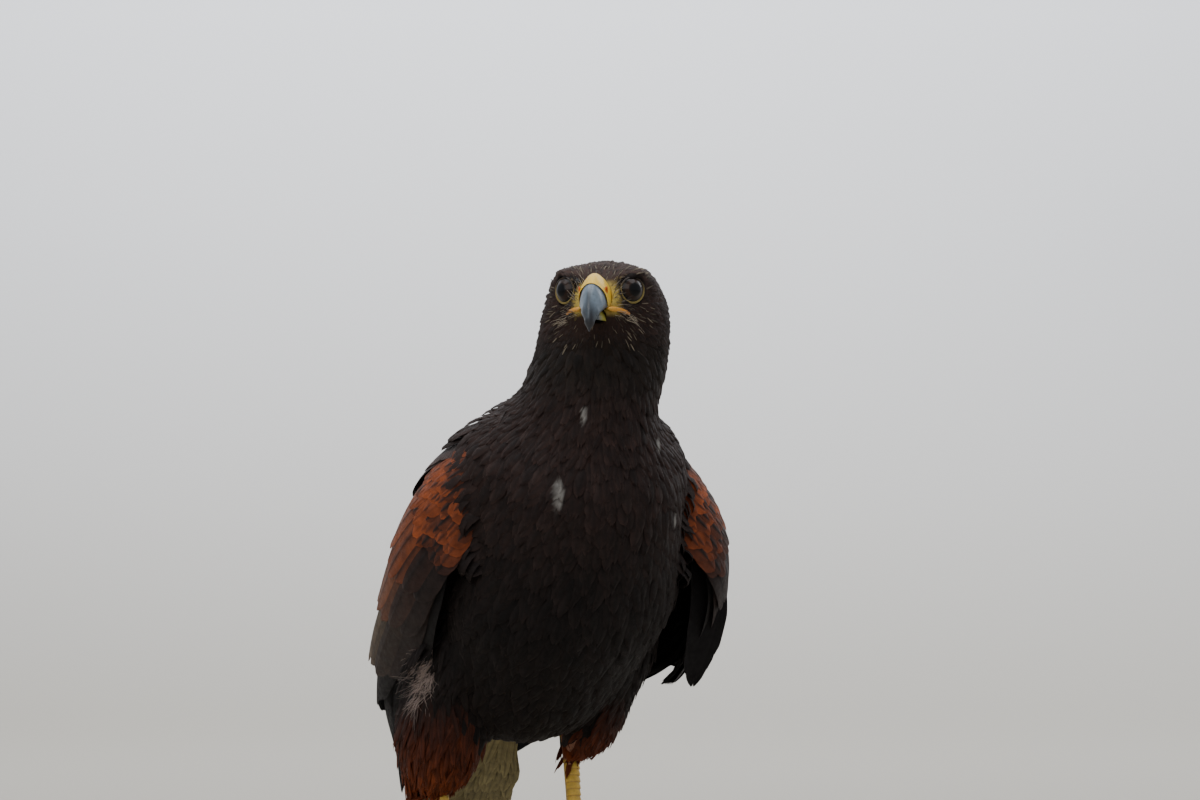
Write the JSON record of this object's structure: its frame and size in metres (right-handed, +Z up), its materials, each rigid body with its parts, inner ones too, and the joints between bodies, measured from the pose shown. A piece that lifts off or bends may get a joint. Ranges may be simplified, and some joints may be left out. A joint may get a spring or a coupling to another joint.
{
  "type": "harris's hawk figure",
  "caption": "Life-size still model of a standing Harris's hawk with folded wings, hooked bill, bare yellow legs and long tail.",
  "frame": {"origin": "middle of the model's bounding box, on the floor it stands on", "axes": "+Z up, -Y the way the bird mostly faces, +X towards its left side"},
  "size_m": [0.2128, 0.3626, 0.3296],
  "materials": {
    "brown_feather": "matt dark brown plumage",
    "rufous_feather": "matt chestnut plumage",
    "black_feather": "satin brown-black flight feathers",
    "white_feather": "matt cream plumage",
    "cere_skin": "satin yellow skin",
    "leg_skin": "satin yellow scaled skin",
    "bill_horn": "glossy blue-grey horn",
    "claw": "glossy black horn",
    "eye": "glossy dark brown"
  },
  "bodies": {
    "root": {"bill_lower": "cere_skin", "bill_upper": "bill_horn", "cere": "cere_skin", "claw_hallux_left": "claw", "claw_hallux_right": "claw", "claw_inner_left": "claw", "claw_inner_right": "claw", "claw_middle_left": "claw", "claw_middle_right": "claw", "claw_outer_left": "claw", "claw_outer_right": "claw", "eye_left": "eye", "eye_right": "eye", "foot_left": "leg_skin", "foot_right": "leg_skin", "head": "brown_feather", "neck": "brown_feather", "scapulars_left": "brown_feather", "scapulars_right": "brown_feather", "tail": "black_feather", "tarsus_left": "leg_skin", "tarsus_right": "leg_skin", "thigh_left": "rufous_feather", "thigh_right": "rufous_feather", "torso": "brown_feather", "undertail_coverts": "white_feather", "uppertail_coverts": "white_feather", "wing_left_coverts": "rufous_feather", "wing_left_flight": "black_feather", "wing_right_coverts": "rufous_feather", "wing_right_flight": "black_feather"}
  },
  "joints": []
}
